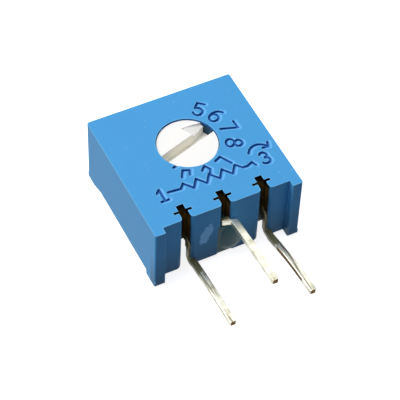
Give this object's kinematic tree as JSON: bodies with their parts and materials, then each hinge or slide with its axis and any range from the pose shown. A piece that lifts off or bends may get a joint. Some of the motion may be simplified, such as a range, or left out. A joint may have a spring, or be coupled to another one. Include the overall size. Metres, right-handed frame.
{
  "type": "trimmer potentiometer",
  "caption": "Square single-turn trimmer potentiometer that stands on edge on a board: moulded cup, slotted rotor on a cermet element, and flat pins out of one side.",
  "frame": {"origin": "centre of the middle hole of the board pattern, in the plane of the standoff ribs", "axes": "+Z out of the adjust face along the rotor's axis, -Y along the pins into the board, +X from terminal 1 to terminal 3"},
  "size_m": [0.0096, 0.0141, 0.0049],
  "materials": {
    "housing": "moulded thermoset, satin",
    "rotor": "moulded, satin",
    "seal": "silicone rubber",
    "wiper": "rolled spring sheet",
    "ceramic": "fired alumina",
    "track": "fired cermet film",
    "film": "fired silver alloy film",
    "terminal": "hot-tinned copper strip",
    "solder": "solder, satin",
    "potting": "cast epoxy resin"
  },
  "bodies": {
    "housing": {"housing": "housing", "element": "ceramic", "resistive_track": "track", "collector_track": "film", "end_pad_1": "film", "end_pad_3": "film", "terminal_1": "terminal", "terminal_2": "terminal", "terminal_3": "terminal", "solder_1": "solder", "solder_2": "solder", "solder_3": "solder", "potting": "potting"},
    "rotor": {"rotor": "rotor", "rotor_seal": "seal", "wiper": "wiper"}
  },
  "joints": [
    {"name": "rotor_turn", "type": "hinge", "parent": "housing", "child": "rotor", "pos_m": [0, 0.0056, 0.00168], "axis": [0, 0, 1], "range_deg": [-82.2, 227.8]}
  ]
}
